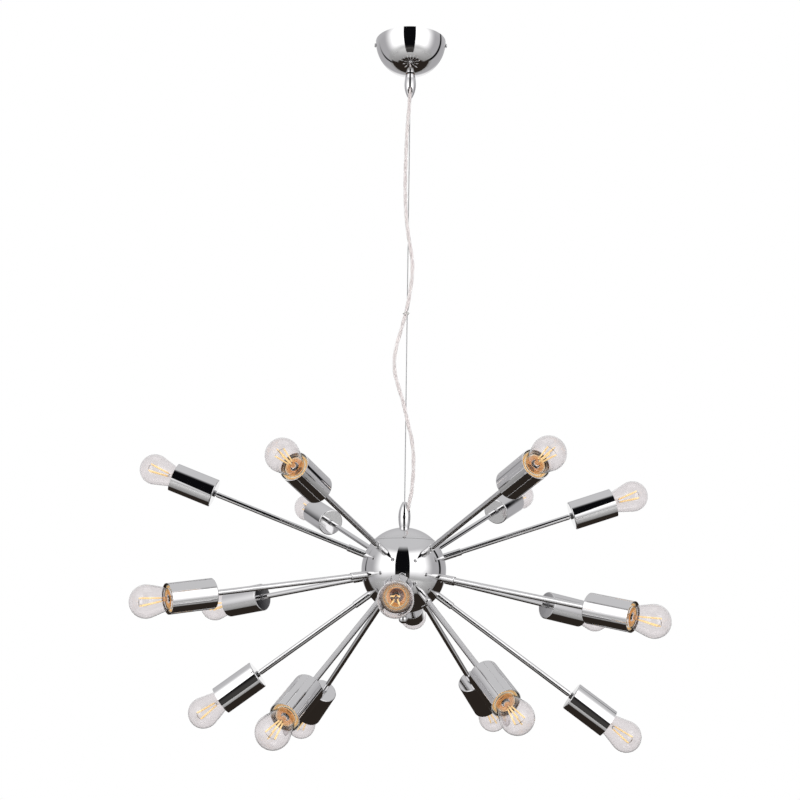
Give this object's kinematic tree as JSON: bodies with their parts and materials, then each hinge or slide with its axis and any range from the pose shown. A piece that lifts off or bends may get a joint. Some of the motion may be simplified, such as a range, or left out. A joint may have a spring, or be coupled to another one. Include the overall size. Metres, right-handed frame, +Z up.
{
  "type": "pendant chandelier",
  "caption": "Polished ball hub hung on a wire from a half-ball canopy, with straight arms in three tiers, each with a deep cup and a clear globe bulb.",
  "frame": {"origin": "centre of the canopy's rim, on the ceiling plane, midway between the two slots of the ceiling strap", "axes": "+Z up, out of the ceiling strap's top; +X along the strap and its slots; -Y towards the viewer of the picture"},
  "size_m": [0.7509, 0.787, 1.088],
  "materials": {
    "chrome": "polished",
    "steel": "zinc plated",
    "swivel_brass": "turned",
    "wire_steel": "stranded wire",
    "holder_cream": "moulded",
    "contact_brass": "stamped",
    "block_plastic": "moulded",
    "cord_clear": "translucent",
    "tie_clear": "clear",
    "bulb_glass": "clear"
  },
  "bodies": {
    "ceiling_fixing": {"mounting_bracket": "steel", "terminal_block": "block_plastic", "terminal_block_screw": "steel", "canopy": "chrome", "canopy_screws": "chrome", "swivel_seat": "swivel_brass"},
    "swivel_liner_body": {"swivel_liner": "swivel_brass"},
    "swivel_ball_body": {"swivel_ball": "swivel_brass"},
    "pendant": {"swivel_stem": "steel", "stem_nut": "steel", "upper_grip": "chrome", "lower_grip": "chrome", "suspension_wire": "wire_steel", "supply_cord": "cord_clear", "cord_tie": "tie_clear", "hub_shell": "chrome", "hub_cap": "chrome", "hub_nuts": "steel", "hub_centre_rod": "steel", "finial_ball": "chrome", "upper_arm_sleeves": "chrome", "upper_arm_rods": "chrome", "upper_cups": "chrome", "upper_lampholders": "holder_cream", "middle_arm_sleeves": "chrome", "middle_arm_rods": "chrome", "middle_cups": "chrome", "middle_lampholders": "holder_cream", "lower_arm_sleeves": "chrome", "lower_arm_rods": "chrome", "lower_cups": "chrome", "lower_lampholders": "holder_cream", "sleeve_screws": "steel", "arm_lock_nuts": "steel", "cup_nipples": "steel", "cup_nuts": "steel", "holder_contacts": "contact_brass"},
    "bulb_upper_1_body": {"bulb_upper_1": "bulb_glass"},
    "bulb_upper_2_body": {"bulb_upper_2": "bulb_glass"},
    "bulb_upper_3_body": {"bulb_upper_3": "bulb_glass"},
    "bulb_upper_4_body": {"bulb_upper_4": "bulb_glass"},
    "bulb_upper_5_body": {"bulb_upper_5": "bulb_glass"},
    "bulb_upper_6_body": {"bulb_upper_6": "bulb_glass"},
    "bulb_middle_1_body": {"bulb_middle_1": "bulb_glass"},
    "bulb_middle_2_body": {"bulb_middle_2": "bulb_glass"},
    "bulb_middle_3_body": {"bulb_middle_3": "bulb_glass"},
    "bulb_middle_4_body": {"bulb_middle_4": "bulb_glass"},
    "bulb_middle_5_body": {"bulb_middle_5": "bulb_glass"},
    "bulb_middle_6_body": {"bulb_middle_6": "bulb_glass"},
    "bulb_lower_1_body": {"bulb_lower_1": "bulb_glass"},
    "bulb_lower_2_body": {"bulb_lower_2": "bulb_glass"},
    "bulb_lower_3_body": {"bulb_lower_3": "bulb_glass"},
    "bulb_lower_4_body": {"bulb_lower_4": "bulb_glass"},
    "bulb_lower_5_body": {"bulb_lower_5": "bulb_glass"},
    "bulb_lower_6_body": {"bulb_lower_6": "bulb_glass"}
  },
  "joints": [
    {"name": "swing_x", "type": "hinge", "parent": "ceiling_fixing", "child": "swivel_liner_body", "pos_m": [0, 0, -0.0455], "axis": [1, 0, 0], "range_deg": [-8, 8]},
    {"name": "swing_y", "type": "hinge", "parent": "swivel_liner_body", "child": "swivel_ball_body", "pos_m": [0, 0, -0.0455], "axis": [0, 1, 0], "range_deg": [-8, 8]},
    {"name": "turn", "type": "hinge", "parent": "swivel_ball_body", "child": "pendant", "pos_m": [0, 0, -0.0455], "axis": [0, 0, 1], "range_deg": [-15, 15]},
    {"name": "unscrew_upper_1", "type": "slide", "parent": "pendant", "child": "bulb_upper_1_body", "axis": [0.9483, 0, 0.3173], "range_m": [0, 0.03]},
    {"name": "unscrew_upper_2", "type": "slide", "parent": "pendant", "child": "bulb_upper_2_body", "axis": [0.4913, 0.7863, 0.3746], "range_m": [0, 0.03]},
    {"name": "unscrew_upper_3", "type": "slide", "parent": "pendant", "child": "bulb_upper_3_body", "axis": [-0.4698, 0.8138, 0.342], "range_m": [0, 0.03]},
    {"name": "unscrew_upper_4", "type": "slide", "parent": "pendant", "child": "bulb_upper_4_body", "axis": [-0.9327, -0.0407, 0.3584], "range_m": [0, 0.03]},
    {"name": "unscrew_upper_5", "type": "slide", "parent": "pendant", "child": "bulb_upper_5_body", "axis": [-0.4325, -0.8308, 0.3502], "range_m": [0, 0.03]},
    {"name": "unscrew_upper_6", "type": "slide", "parent": "pendant", "child": "bulb_upper_6_body", "axis": [0.4598, -0.8294, 0.3173], "range_m": [0, 0.03]},
    {"name": "unscrew_middle_1", "type": "slide", "parent": "pendant", "child": "bulb_middle_1_body", "axis": [0.8498, 0.5006, -0.165], "range_m": [0, 0.03]},
    {"name": "unscrew_middle_2", "type": "slide", "parent": "pendant", "child": "bulb_middle_2_body", "axis": [0.0346, 0.9897, -0.1392], "range_m": [0, 0.03]},
    {"name": "unscrew_middle_3", "type": "slide", "parent": "pendant", "child": "bulb_middle_3_body", "axis": [-0.8488, 0.51, -0.1392], "range_m": [0, 0.03]},
    {"name": "unscrew_middle_4", "type": "slide", "parent": "pendant", "child": "bulb_middle_4_body", "axis": [-0.8522, -0.502, -0.1478], "range_m": [0, 0.03]},
    {"name": "unscrew_middle_5", "type": "slide", "parent": "pendant", "child": "bulb_middle_5_body", "axis": [-0.0172, -0.9861, -0.165], "range_m": [0, 0.03]},
    {"name": "unscrew_middle_6", "type": "slide", "parent": "pendant", "child": "bulb_middle_6_body", "axis": [0.8325, -0.5202, -0.1908], "range_m": [0, 0.03]},
    {"name": "unscrew_lower_1", "type": "slide", "parent": "pendant", "child": "bulb_lower_1_body", "axis": [0.809, -0.0071, -0.5878], "range_m": [0, 0.03]},
    {"name": "unscrew_lower_2", "type": "slide", "parent": "pendant", "child": "bulb_lower_2_body", "axis": [0.4059, 0.6755, -0.6157], "range_m": [0, 0.03]},
    {"name": "unscrew_lower_3", "type": "slide", "parent": "pendant", "child": "bulb_lower_3_body", "axis": [-0.42, 0.6854, -0.5948], "range_m": [0, 0.03]},
    {"name": "unscrew_lower_4", "type": "slide", "parent": "pendant", "child": "bulb_lower_4_body", "axis": [-0.8085, 0.0282, -0.5878], "range_m": [0, 0.03]},
    {"name": "unscrew_lower_5", "type": "slide", "parent": "pendant", "child": "bulb_lower_5_body", "axis": [-0.3915, -0.7363, -0.5519], "range_m": [0, 0.03]},
    {"name": "unscrew_lower_6", "type": "slide", "parent": "pendant", "child": "bulb_lower_6_body", "axis": [0.4145, -0.718, -0.5592], "range_m": [0, 0.03]}
  ]
}
